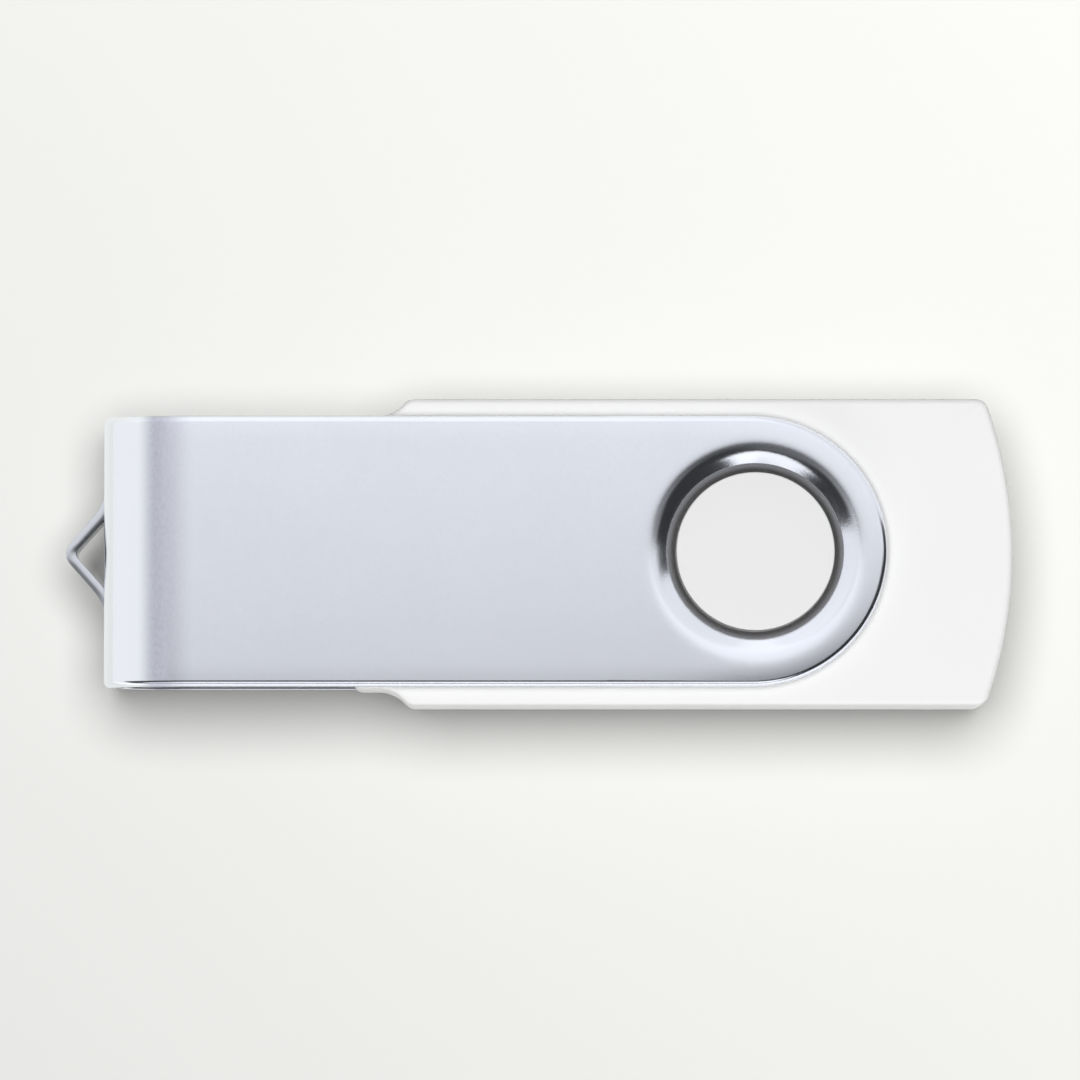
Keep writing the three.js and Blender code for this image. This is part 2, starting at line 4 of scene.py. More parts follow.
import bmesh
import bpy
import numpy as np
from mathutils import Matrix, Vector


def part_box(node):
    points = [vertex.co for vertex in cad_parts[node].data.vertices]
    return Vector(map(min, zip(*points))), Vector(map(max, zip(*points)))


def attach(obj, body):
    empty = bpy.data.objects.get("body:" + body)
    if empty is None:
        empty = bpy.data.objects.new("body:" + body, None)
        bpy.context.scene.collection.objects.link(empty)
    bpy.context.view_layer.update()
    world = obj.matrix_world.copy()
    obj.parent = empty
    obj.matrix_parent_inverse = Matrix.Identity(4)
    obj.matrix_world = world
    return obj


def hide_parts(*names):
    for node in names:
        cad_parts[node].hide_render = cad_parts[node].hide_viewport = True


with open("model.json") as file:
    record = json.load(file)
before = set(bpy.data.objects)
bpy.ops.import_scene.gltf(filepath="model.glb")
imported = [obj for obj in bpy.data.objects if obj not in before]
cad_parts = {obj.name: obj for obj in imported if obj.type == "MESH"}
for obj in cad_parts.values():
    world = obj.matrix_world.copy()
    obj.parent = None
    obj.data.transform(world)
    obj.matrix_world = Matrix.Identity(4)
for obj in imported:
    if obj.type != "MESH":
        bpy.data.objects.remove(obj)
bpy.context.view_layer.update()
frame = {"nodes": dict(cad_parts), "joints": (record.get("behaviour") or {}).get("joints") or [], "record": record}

# ---------------------------------------------------------------- sizes, in millimetres

MM = 0.001
PIVOT = Vector(frame["joints"][0]["pos_m"])


def local_box(node):
    """A CAD node's lowest and highest corners, in millimetres from the swivel axis."""
    low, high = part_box(node)
    return (low - PIVOT) / MM, (high - PIVOT) / MM


COVER_LOW, COVER_HIGH = local_box("swivel_cover")
HOUSING_LOW, HOUSING_HIGH = local_box("housing_top")
PLUG_LOW, PLUG_HIGH = local_box("usb_plug_shell")

SHEET = 0.8
COVER_Z = COVER_HIGH.z
COVER_HALF_WIDTH = COVER_HIGH.y
ARM_END_X = COVER_HIGH.x - COVER_HALF_WIDTH  # centre of the arm's round end
LOOP_TIP = -COVER_LOW.x
WALL_X = 40.0
BEND_LENGTH = 4.8  # how far along the arm each bend starts, from the end wall
BEND_HEIGHT = 2.6
OUTER_EDGE = 0.34  # width of the rounding of the sheet's edges, on the outside of the cover
EDGE_TURN = 50.0  # degrees it turns through before the sheared side
EDGE_STEPS = 6
NEAR_EDGE = 0.04  # the face's last row of points is this close to the rounding
INNER_EDGE = 0.1
HOLE_RADIUS = 5.05
LIP_RADIUS = 5.42  # where the sheet starts to turn down into the hole
LIP_EDGE = 0.15  # radius of its edge, which turns until it is this steep:
LIP_TURN = 70.0
DIMPLE_GRADIENT = 0.62  # slope of the dished ring beside the lip
HALF_SLOPE_RADIUS = 6.22  # where it has half that slope
SLOPE_SOFTNESS = 0.16  # how gradually it steepens
INSIDE_SHIFT = 0.3  # how much further out the underside of the ring slopes
DIMPLE_RADIUS = 7.6
COLLAR_SHEET = 0.6
LIP_DEPTH = 0.95
CROWN = 0.012  # drop of the arm's face from its middle line to its sides, at the swivel end
EDGE_ROLL = 0.028  # further drop where the punch has pulled the edge of the arm's end down
EDGE_ROLL_WIDTH = 1.4
EDGE_ROLL_ALONG = 0.25  # how much of it is left along the arm's straight sides
ROLL_STARTS = -2.0  # where along the arm half of it has come, and how gradually it comes
ROLL_SOFTNESS = 1.5
LOWER_INSET = 0.14  # how much narrower the lower arm is, on each side
ARM_JOIN_X = -9.0  # where the rings round the hole give way to straight rows
RIM_GATHERS = 0.98  # how far out the evenly spaced rings between the dimple and the rim go

GREY_BY = -38.9  # places along the cover where its colour changes, from the end wall on, including the painted reflection round each bend and the painted shade where it begins
SHEARED_FROM = -38.45
BRIGHT_BEND_TO = -37.95
DARKEST_BAND = -36.75
DARK_BAND_TO = -34.3
GREY_TO = 1.8  # height on the end wall where its grey starts to fade, and where it is gone
GREY_GONE = 2.8
STRETCHED_TO = 6.82  # radius beyond which the dimple hasn't stretched the sheet
DARKENS_AT = 5.4  # radius where the hole's wall starts to be matt and painted with shade, and where it all is
DARK_AT = 5.27

LOOP_ROOT = 3.05
LOOP_SLOPE = 1.125
LOOP_FILLET = 0.9
LOOP_INNER_FILLET = 0.35
LOOP_INNER_TIP = 0.3  # half the width of the rounding at its tip, on its inside
LOOP_HALF_HEIGHT = 1.6
LOOP_WINDOW = 3.95
SLIT = 0.05

HOUSING_HALF_WIDTH = HOUSING_HIGH.y
HOUSING_REAR = HOUSING_HIGH.x
HOUSING_FRONT = HOUSING_LOW.x
HOUSING_Z = 4.2
NOSE_HALF_WIDTH = 8.36
NOSE_STATIONS = (0.33, 0.67)  # parts of the way along the nose's side
SHOULDER_X = -23.2
SHOULDER_INNER = 2.2
SHOULDER_OUTER = 0.9
REAR_RADIUS = 27.0
REAR_CORNER = 0.8
NOSE_CORNER = 0.5
SMALLEST_CORNER = 0.15  # what is left of a corner on the housing's inside
SMALLEST_REAR_CORNER = 0.2
HOUSING_EDGE = 0.35
HOUSING_SIDE_Z = 2.6  # a ring of points just over the plug's slot
HOUSING_WALL = 1.5
CAVITY_Z = 2.4
SEAM = 0.02
SEAM_CHAMFER = 0.1
LIP_INSET = 0.85
LIP_HEIGHT = 0.6
LIP_PLAY = 0.1
BOSS_RADIUS = 4.85
BOSS_TOP = HOUSING_HIGH.z
BOSS_EDGE = 0.09
BOSS_SIDE_Z = 4.5
BOSS_FACE_RINGS = (0.6, 2.2)
BOSS_CORE = 3.4
CORE_Z = 4.0
GROOVE_RADIUS = 7.6
GROOVE_Z = 3.3
GROOVE_FOOT = 0.15  # chamfers at the foot of its walls and at its rim
GROOVE_RIM = 0.1
GROOVE_FADE = 0.05  # width over which the colour changes at its walls
SLOT_HALF_WIDTH = 6.08
SLOT_Z = 2.33
SLOT_CORNER = 0.4
SLOT_MARGIN = 0.2
SLOT_MIDDLE = (4.0, 2.0, 0.0)  # places across its flat top

PLUG_SHEET = 0.3
PLUG_CORNER = 0.6
SMALLEST_PLUG_CORNER = 0.1
PLUG_MOUTH = 0.12
PLUG_BEFORE_WINDOW = 2.5
PLUG_PAST_WINDOW = 10.0
PLUG_REAR = -19.6
PLUG_WINDOW_X = 5.2
PLUG_WINDOW_LENGTH = 1.95
PLUG_WINDOW_Y = 2.25
PLUG_WINDOW_WIDTH = 2.5
CONTACT_EDGE = 0.06
CONTACT_NODES = (
    "usb_contact_power",
    "usb_contact_data_minus",
    "usb_contact_data_plus",
    "usb_contact_ground",
)

TINY = 1e-6  # allowed for rounding when places are compared
WELD = 0.0005  # points closer than this become one
SLIVER = 0.0002  # and edges shorter than this go


# ---------------------------------------------------------------- mesh tools


class Skin:
    """Points and faces of one closed piece, in millimetres about the swivel axis."""

    def __init__(self):
        self.points = []
        self.faces = []

    def add(self, grid):
        grid = np.asarray(grid, float)
        start = len(self.points)
        self.points.extend(grid.reshape(-1, 3).tolist())
        return start + np.arange(grid.size // 3).reshape(grid.shape[:-1])

    def quad(self, *corners):
        self.faces.append([int(c) for c in corners])

    def rings(self, rings, cap_start=False, cap_end=False):
        """Closed rings of equal length, each joined to the next."""
        index = self.add(rings)
        count = index.shape[1]
        for lower, upper in zip(index[:-1], index[1:]):
            for i in range(count):
                j = (i + 1) % count
                self.quad(lower[i], lower[j], upper[j], upper[i])
        if cap_start:
            self.quad(*index[0][::-1])
        if cap_end:
            self.quad(*index[-1])

    def sheet(self, outer, inner, removed=None, wrap=False, close=()):
        """A sheet between two grids of points. Cells may be removed, and it is closed along
        the edges of removed cells and along the sides named in close."""
        outer, inner = self.add(outer), self.add(inner)
        rows, columns = outer.shape
        cells = columns if wrap else columns - 1
        gone = np.zeros((rows - 1, cells), bool) if removed is None else removed

        def open_side(row, column, side):
            if side in close:
                return True
            inside = 0 <= row < rows - 1 and (wrap or 0 <= column < cells)
            return inside and gone[row, column % cells]

        for r in range(rows - 1):
            for c in range(cells):
                if gone[r, c]:
                    continue
                d = (c + 1) % columns
                self.quad(outer[r, c], outer[r, d], outer[r + 1, d], outer[r + 1, c])
                self.quad(inner[r + 1, c], inner[r + 1, d], inner[r, d], inner[r, c])
                borders = (
                    (r - 1, c, "first_row" if r == 0 else "", (r, c), (r, d)),
                    (r + 1, c, "last_row" if r == rows - 2 else "", (r + 1, d), (r + 1, c)),
                    (r, c - 1, "first_column" if c == 0 else "", (r + 1, c), (r, c)),
                    (r, c + 1, "last_column" if c == cells - 1 else "", (r, d), (r + 1, d)),
                )
                for row, column, side, a, b in borders:
                    if open_side(row, column, side or "none"):
                        self.quad(outer[a], inner[a], inner[b], outer[b])


def place(points):
    return [PIVOT + Vector(p) * MM for p in points]


def piece(name, skin, body, material, replaces=(), bevel=0.0, sharp=40):
    """One Blender object from a skin, riding on its body and standing for its CAD nodes."""
    mesh = bpy.data.meshes.new(name)
    mesh.from_pydata(place(skin.points), [], skin.faces)
    work = bmesh.new()
    work.from_mesh(mesh)
    bmesh.ops.remove_doubles(work, verts=work.verts, dist=WELD * MM)
    bmesh.ops.dissolve_degenerate(work, edges=work.edges, dist=SLIVER * MM)
    bmesh.ops.recalc_face_normals(work, faces=work.faces)
    work.to_mesh(mesh)
    work.free()
    mesh.shade_smooth()
    mesh.set_sharp_from_angle(angle=math.radians(sharp))
    made = bpy.data.objects.new(name, mesh)
    bpy.context.scene.collection.objects.link(made)
    made.data.materials.append(material)
    if bevel:
        rounding = made.modifiers.new("edge_rounding", "BEVEL")
        rounding.width = bevel * MM
        rounding.segments = 3
        rounding.limit_method = "ANGLE"
        rounding.angle_limit = math.radians(sharp)
    normals = made.modifiers.new("flat_faces_stay_flat", "WEIGHTED_NORMAL")
    normals.keep_sharp = not bevel
    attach(made, body)
    if replaces:
        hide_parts(*replaces)
    return made


def arc(cx, cy, radius, start, end, steps, skip_first=False):
    """Points on an arc, with angles in degrees."""
    first = 1 if skip_first else 0
    turns = [math.radians(start + (end - start) * i / steps) for i in range(first, steps + 1)]
    return [(cx + radius * math.cos(a), cy + radius * math.sin(a)) for a in turns]


def spread(start, end, steps):
    return [start + (end - start) * i / steps for i in range(steps + 1)]


def quarter(steps):
    """(sine, cosine) pairs over a quarter turn."""
    return [(math.sin(a), math.cos(a)) for a in np.linspace(0, math.pi / 2, steps + 1)]


# ---------------------------------------------------------------- materials


class Nodes:
    """A material's node tree, with short calls for the nodes that several materials share."""

    def __init__(self, name):
        self.material = bpy.data.materials.new(name)
        self.material.use_nodes = True
        self.tree = self.material.node_tree
        self.shader = self.tree.nodes["Principled BSDF"]
        self.place = self.tree.nodes.new("ShaderNodeTexCoord").outputs["Object"]

    def link(self, output, target):
        self.tree.links.new(output, target)

    def noise(self, size_mm, detail=2.0, roughness=0.5, stretch=(1, 1, 1)):
        """Noise whose features are about size_mm across, in the piece's own space."""
        mapping = self.tree.nodes.new("ShaderNodeMapping")
        mapping.inputs["Scale"].default_value = [s / (size_mm * MM) for s in stretch]
        texture = self.tree.nodes.new("ShaderNodeTexNoise")
        texture.inputs["Scale"].default_value = 1.0
        texture.inputs["Detail"].default_value = detail
        texture.inputs["Roughness"].default_value = roughness
        self.link(self.place, mapping.inputs["Vector"])
        self.link(mapping.outputs["Vector"], texture.inputs["Vector"])
        return texture.outputs["Fac"]

    def span(self, value, low, high, from_low=0.3, from_high=0.7, smooth=False):
        """A value remapped to low..high. Unless told otherwise it is noise, most of which lies
        between 0.3 and 0.7."""
        node = self.tree.nodes.new("ShaderNodeMapRange")
        node.interpolation_type = "SMOOTHSTEP" if smooth else "LINEAR"
        node.inputs["From Min"].default_value = from_low
        node.inputs["From Max"].default_value = from_high
        node.inputs["To Min"].default_value = low
        node.inputs["To Max"].default_value = high
        self.link(value, node.inputs["Value"])
        return node.outputs["Result"]

    def mix(self, factor, first, second):
        """A colour between two, each a colour or an output."""
        node = self.tree.nodes.new("ShaderNodeMix")
        node.data_type = "RGBA"
        self.link(factor, node.inputs["Factor"])
        for value, socket in ((first, node.inputs["A"]), (second, node.inputs["B"])):
            if isinstance(value, tuple):
                socket.default_value = (*value, 1.0)
            else:
                self.link(value, socket)
        return node.outputs["Result"]

    def tint(self, noise, first, second):
        """A colour that varies between two with the noise."""
        return self.mix(self.span(noise, 0.0, 1.0), first, second)

    def number_math(self, operation, *values):
        node = self.tree.nodes.new("ShaderNodeMath")
        node.operation = operation
        for value, socket in zip(values, node.inputs):
            self.link(value, socket)
        return node.outputs["Value"]

    def vector_math(self, operation, first, second=None):
        node = self.tree.nodes.new("ShaderNodeVectorMath")
        node.operation = operation
        self.link(first, node.inputs[0])
        if second is not None:
            node.inputs[1].default_value = second
        is_number = operation in ("LENGTH", "DOT_PRODUCT")
        return node.outputs["Value" if is_number else "Vector"]

    def from_axis(self):
        """Distance from the swivel axis, in millimetres."""
        across = self.vector_math("SUBTRACT", self.place, PIVOT)
        flat = self.vector_math("MULTIPLY", across, (1 / MM, 1 / MM, 0.0))
        return self.vector_math("LENGTH", flat)

    def along_drive(self):
        """Distance along X from the swivel axis, in millimetres."""
        across = self.vector_math("SUBTRACT", self.place, PIVOT)
        return self.vector_math("DOT_PRODUCT", across, (1 / MM, 0.0, 0.0))

    def from_middle_height(self):
        """Height over or under the swivel axis's middle, in millimetres."""
        across = self.vector_math("SUBTRACT", self.place, PIVOT)
        height = self.vector_math("DOT_PRODUCT", across, (0.0, 0.0, 1 / MM))
        return self.number_math("ABSOLUTE", height)

    def upright(self):
        """1 on faces that stand upright, 0 on those that face up or down, and between where the
        upward part of the face's direction is between steep and gentle."""
        steep, gentle = 0.05, 0.35
        normal = self.tree.nodes.new("ShaderNodeTexCoord").outputs["Normal"]
        up = self.vector_math("DOT_PRODUCT", normal, (0.0, 0.0, 1.0))
        return self.span(self.number_math("ABSOLUTE", up), 1.0, 0.0, steep, gentle)

    def bump(self, height, distance_mm, strength=1.0, normal=None):
        node = self.tree.nodes.new("ShaderNodeBump")
        if isinstance(strength, float):
            node.inputs["Strength"].default_value = strength
        else:
            self.link(strength, node.inputs["Strength"])
        node.inputs["Distance"].default_value = distance_mm * MM
        self.link(height, node.inputs["Height"])
        if normal is not None:
            self.link(normal, node.inputs["Normal"])
        return node.outputs["Normal"]

    def set(self, **values):
        """Plain numbers on the shader's own sockets, with _ for a space in their names."""
        for name, value in values.items():
            self.shader.inputs[name.replace("_", " ")].default_value = value

    def surface(self, color=None, roughness=None, normal=None):
        for value, socket in ((color, "Base Color"), (roughness, "Roughness"), (normal, "Normal")):
            if value is not None:
                self.link(value, self.shader.inputs[socket])
        return self.material


def satin_aluminium():
    """Satin sheet with a very fine grain, which is coarser where the dimple has stretched it. A dim
    band of painted shade is where each bend begins, and a painted reflection brightens the colour
    round the bend. The end wall between the bends is greyer. The drawn wall of the hole is matt, with
    painted shade that dims it towards the bottom of the hole, and the sheet's sheared sides are
    painted brighter, a painted highlight."""
    n = Nodes("satin_aluminium")
    cloud = n.noise(6.0, detail=3)
    grain = n.noise(0.12, detail=2)
    coarse = n.noise(0.16, detail=3, stretch=(1, 0.6, 1))
    sheet = n.tint(cloud, (0.84, 0.86, 0.925), (0.86, 0.88, 0.945))
    # painted shade: a dim band of colour where each bend begins; painted reflection: a brighter colour round the
    # bend
    painted_dark_band = n.tint(coarse, (0.53, 0.54, 0.61), (0.59, 0.6, 0.67))
    painted_bright_bend, grey = (0.94, 0.965, 1.0), (0.62, 0.635, 0.68)
    # painted highlight: the sheet's sheared sides are given a brighter colour
    painted_bright_sides = (0.92, 0.93, 0.95)
    # painted shade: the hole's wall is coloured dimmer towards the bottom of the hole
    painted_shade_deep, painted_shade_near_lip = (0.24, 0.24, 0.25), (0.6, 0.6, 0.62)
    along = n.along_drive()
    bend_ends = n.span(along, 0.0, 1.0, BRIGHT_BEND_TO, DARKEST_BAND, smooth=True)
    arm_begins = n.span(along, 0.0, 1.0, DARKEST_BAND, DARK_BAND_TO, smooth=True)
    on_wall = n.number_math(
        "MULTIPLY",
        n.span(n.from_middle_height(), 1.0, 0.0, GREY_TO, GREY_GONE, smooth=True),
        n.span(along, 1.0, 0.0, GREY_BY, BRIGHT_BEND_TO),
    )
    bend = n.mix(on_wall, painted_bright_bend, grey)
    outside = n.mix(arm_begins, n.mix(bend_ends, bend, painted_dark_band), sheet)

    from_axis = n.from_axis()
    stretched = n.span(from_axis, 0.08, 1.0, STRETCHED_TO, HALF_SLOPE_RADIUS)
    in_hole = n.span(from_axis, 0.0, 1.0, DARKENS_AT, DARK_AT)
    # painted shade, graded from the bottom of the hole up to the lip
    shade_down_the_hole = n.span(from_axis, 0.0, 1.0, HOLE_RADIUS, LIP_RADIUS)
    wall = n.mix(shade_down_the_hole, painted_shade_deep, painted_shade_near_lip)
    past_end_wall = n.span(along, 0.0, 1.0, SHEARED_FROM, BRIGHT_BEND_TO)
    sheared = n.number_math("MULTIPLY", n.upright(), past_end_wall)
    color = n.mix(in_hole, n.mix(sheared, outside, painted_bright_sides), wall)
    n.link(n.span(in_hole, 1.0, 0.3, 0.0, 1.0), n.shader.inputs["Metallic"])
    return n.surface(color, n.span(grain, 0.14, 0.17), n.bump(grain, 0.0028, stretched))


def white_plastic():
    """Moulded plastic, with nearly black painted shade in the groove round each boss."""
    n = Nodes("white_plastic")
    n.set(IOR=1.5, Specular_IOR_Level=0.45)
    cloud = n.noise(9.0, detail=2)
    grain = n.noise(0.15, detail=3)
    moulded = n.tint(cloud, (0.805, 0.805, 0.805), (0.82, 0.82, 0.82))
    # painted shade: the groove round each boss is coloured nearly black
    boss_face, painted_groove_shade = (0.745, 0.745, 0.745), (0.22, 0.22, 0.22)
    from_axis = n.from_axis()
    on_boss = n.span(from_axis, 0.0, 1.0, BOSS_RADIUS + 2 * GROOVE_FADE, BOSS_RADIUS)
    in_groove = n.span(from_axis, 0.0, 1.0, BOSS_RADIUS, BOSS_RADIUS + GROOVE_FADE)
    past_groove = n.span(from_axis, 0.0, 1.0, GROOVE_RADIUS - GROOVE_FADE, GROOVE_RADIUS)
    faced = n.mix(on_boss, moulded, boss_face)
    groove_shaded = n.mix(in_groove, faced, painted_groove_shade)
    color = n.mix(past_groove, groove_shaded, moulded)
    return n.surface(color, n.span(grain, 0.38, 0.5), n.bump(grain, 0.002))


def plated_steel():
    n = Nodes("plated_steel")
    n.set(Metallic=1.0)
    drawn = n.noise(0.06, detail=3, stretch=(0.05, 1, 1))
    cloud = n.noise(3.0)
    color = n.tint(cloud, (0.66, 0.67, 0.68), (0.72, 0.725, 0.73))
    return n.surface(color, n.span(drawn, 0.16, 0.3), n.bump(drawn, 0.001))


def black_nylon():
    n = Nodes("black_nylon")
    grain = n.noise(0.1, detail=3)
    color = n.mix(grain, (0.012, 0.012, 0.014), (0.03, 0.03, 0.034))
    return n.surface(color, n.span(grain, 0.4, 0.6), n.bump(grain, 0.004))


def gold_plate():
    n = Nodes("gold_plate")
    n.set(Metallic=1.0)
    scuff = n.noise(0.08, detail=3, stretch=(0.08, 1, 1))
    color = n.tint(scuff, (0.78, 0.55, 0.22), (0.86, 0.66, 0.32))
    return n.surface(color, n.span(scuff, 0.18, 0.34), n.bump(scuff, 0.001))


def board_green():
    n = Nodes("board_green")
    n.set(Coat_Weight=0.3, Coat_Roughness=0.15)
    weave = n.noise(0.5, detail=3)
    color = n.tint(weave, (0.01, 0.11, 0.04), (0.02, 0.17, 0.07))
    return n.surface(color, n.span(weave, 0.35, 0.5), n.bump(weave, 0.01))


def chip_black():
    n = Nodes("chip_black")
    grain = n.noise(0.12, detail=3)
    color = n.tint(grain, (0.012, 0.012, 0.013), (0.03, 0.03, 0.032))
    return n.surface(color, n.span(grain, 0.5, 0.7), n.bump(grain, 0.006))


def can_metal():
    n = Nodes("can_metal")
    n.set(Metallic=1.0)
    brushed = n.noise(0.08, detail=3, stretch=(1, 0.06, 1))
    color = n.tint(brushed, (0.56, 0.56, 0.57), (0.66, 0.66, 0.66))
    return n.surface(color, n.span(brushed, 0.25, 0.4), n.bump(brushed, 0.002))


def small_part(name, dark, light, roughness):
    """Ceramic or film chip parts, each a speckled body colour."""
    uneven = 0.08
    n = Nodes(name)
    grain = n.noise(0.1, detail=3)
    color = n.tint(grain, dark, light)
    sheen = n.span(grain, roughness - uneven, roughness + uneven)
    return n.surface(color, sheen, n.bump(grain, 0.004))


MATERIALS = {
    "satin_aluminium": satin_aluminium(),
    "white_plastic": white_plastic(),
    "plated_steel": plated_steel(),
    "black_nylon": black_nylon(),
    "gold_plate": gold_plate(),
    "board_green": board_green(),
    "chip_black": chip_black(),
    "can_metal": can_metal(),
    "led_lens": small_part("led_lens", (0.7, 0.74, 0.62), (0.8, 0.84, 0.72), 0.25),
    "resistor_black": small_part("resistor_black", (0.01, 0.011, 0.013), (0.03, 0.03, 0.035), 0.5),
    "capacitor_tan": small_part("capacitor_tan", (0.3, 0.2, 0.12), (0.4, 0.28, 0.18), 0.5),
    "ferrite_grey": small_part("ferrite_grey", (0.06, 0.06, 0.065), (0.1, 0.1, 0.1), 0.6),
}


# ---------------------------------------------------------------- swivel cover


def cover_columns():
    """Across the sheet: (place on the outside, its depth, place on the inside, its depth). The
    outside edge turns down quickly at first, then more gently."""
    flat = COVER_HALF_WIDTH - OUTER_EDGE
    wide = [*spread(LOOP_WINDOW, flat - NEAR_EDGE, steps=14), flat]
    fine = spread(-LOOP_WINDOW, LOOP_WINDOW, steps=78)
    middle = [-v for v in wide[:0:-1]] + fine + wide[1:]
    columns = [(v, 0.0, v, SHEET) for v in middle]
    inner_flat = COVER_HALF_WIDTH - INNER_EDGE
    columns[0] = (-flat, 0.0, -inner_flat, SHEET)
    columns[-1] = (flat, 0.0, inner_flat, SHEET)
    stride = 1 / EDGE_STEPS
    depth = 0.0
    for step, (sine, cosine) in enumerate(quarter(EDGE_STEPS)[1:], start=1):
        turn = math.radians(EDGE_TURN * math.sqrt((step - 0.5) * stride))
        depth += OUTER_EDGE * stride * math.tan(turn)
        outer = flat + OUTER_EDGE * step * stride
        inner = COVER_HALF_WIDTH - INNER_EDGE * (1 - sine)
        inner_depth = SHEET - INNER_EDGE * (1 - cosine)
        columns.append((outer, depth, inner, inner_depth))
        columns.insert(0, (-outer, depth, -inner, inner_depth))
    return columns


def cover_rows():
    """Along the bent sheet: (x, z) of its outside, then the outward direction there."""
    bend_x = BEND_LENGTH - WALL_X
    bend_z = COVER_Z - BEND_HEIGHT
    band = (LOOP_HALF_HEIGHT + SLIT, LOOP_HALF_HEIGHT, LOOP_HALF_HEIGHT / 3)
    arm = [(x, COVER_Z, 0.0, 1.0) for x in spread(ARM_JOIN_X, bend_x, steps=14)]
    bend = []
    for sine, cosine in quarter(steps=24)[1:]:
        across, up = sine / BEND_LENGTH, cosine / BEND_HEIGHT
        length = math.hypot(across, up)
        x, z = bend_x - BEND_LENGTH * sine, bend_z + BEND_HEIGHT * cosine
        bend.append((x, z, -across / length, up / length))
    bend[-1] = (-WALL_X, bend_z, -1.0, 0.0)
    wall = [(-WALL_X, z, -1.0, 0.0) for z in band]
    upper = arm + bend + wall
    lower = [(x, -z, nx, -nz) for x, z, nx, nz in reversed(upper)]
    return upper + lower


def loop_rise(y, fillet, tip):
    """How far the keyring loop stands out of the end wall at y, with a rounded foot and tip."""
    y = abs(y)
    if y >= LOOP_ROOT + fillet:
        return 0.0
    if y > LOOP_ROOT - fillet:
        return (LOOP_ROOT + fillet - y) ** 2 / (4 * fillet * LOOP_SLOPE)
    if y > tip:
        return (LOOP_ROOT - y) / LOOP_SLOPE
    return (LOOP_ROOT - tip / 2 - y * y / (2 * tip)) / LOOP_SLOPE


def face_drop(x, y):
    """How far the arm's face, crowned and rolled over at its edge, has dropped at x, y."""
    share = min(max((x + WALL_X - BEND_LENGTH) / (WALL_X - BEND_LENGTH), 0.0), 1.0)
    from_middle = math.hypot(max(x - ARM_END_X, 0.0), y)
    from_edge = max(COVER_HALF_WIDTH - from_middle, 0.0)
    near_end = 1 / (1 + math.exp((ROLL_STARTS - x) / ROLL_SOFTNESS))
    pulled = EDGE_ROLL_ALONG + (1 - EDGE_ROLL_ALONG) * near_end
    roll = EDGE_ROLL * pulled * max(1 - from_edge / EDGE_ROLL_WIDTH, 0.0) ** 2
    return CROWN * share * (y / COVER_HALF_WIDTH) ** 2 + roll


def inset_y(y, z):
    """The place across the sheet, drawn in a little near the lower arm's sides."""
    beside = max((abs(y) - DIMPLE_RADIUS) / (COVER_HALF_WIDTH - DIMPLE_RADIUS), 0.0)
    below = min(max(-z / BEND_HEIGHT, 0.0), 1.0)
    return y - math.copysign(LOWER_INSET * beside * below, y)


def cover_bend(skin, columns):
    """The arms' straight stretches, the bends, the end wall and its keyring loop."""
    rows = cover_rows()
    outer_tip = 2 * (LOOP_ROOT - LOOP_SLOPE * (LOOP_TIP - WALL_X))
    outer = np.zeros((len(rows), len(columns), 3))
    inner = np.zeros_like(outer)
    for i, (x, z, nx, nz) in enumerate(rows):
        in_loop = nx == -1.0 and abs(z) <= LOOP_HALF_HEIGHT + TINY
        for j, (v, depth, inner_v, inner_depth) in enumerate(columns):
            rise = loop_rise(v, LOOP_FILLET, outer_tip) if in_loop else 0.0
            inner_rise = 0.0
            if in_loop:
                inner_rise = loop_rise(inner_v, LOOP_INNER_FILLET, LOOP_INNER_TIP)
            drop = math.copysign(face_drop(x, v), z)
            inner_x = x - nx * inner_depth - inner_rise
            outer[i, j] = (x - nx * depth - rise, inset_y(v, z), z - nz * depth - drop)
            inner[i, j] = (inner_x, inset_y(inner_v, z), z - nz * inner_depth - drop)
    slit = np.zeros((len(rows) - 1, len(columns) - 1), bool)
    for i in range(len(rows) - 1):
        high, low = rows[i][1], rows[i + 1][1]
        is_slit = rows[i][2] == rows[i + 1][2] == -1.0 and abs(high - low - SLIT) < SLIT / 10
        for j in range(len(columns) - 1):
            middle = (columns[j][0] + columns[j + 1][0]) / 2
            slit[i, j] = is_slit and abs(middle) < LOOP_WINDOW
    skin.sheet(outer, inner, removed=slit, close=("first_column", "last_column"))


def arm_edge_path(half_width):
    """Down one side of an arm, round its end and back, starting where the rows stop."""
    side = spread(ARM_JOIN_X, ARM_END_X, steps=16)
    end = arc(ARM_END_X, 0, half_width, -90, 90, steps=72, skip_first=True)
    return [(x, -half_width) for x in side] + end + [(x, half_width) for x in side[-2::-1]]


def dimple_depth(radius, half_slope_radius=HALF_SLOPE_RADIUS):
    """Depth of the dished ring at a radius: flat outside, easing into an even slope."""
    bend = math.log1p(math.exp((half_slope_radius - radius) / SLOPE_SOFTNESS))
    return DIMPLE_GRADIENT * SLOPE_SOFTNESS * bend


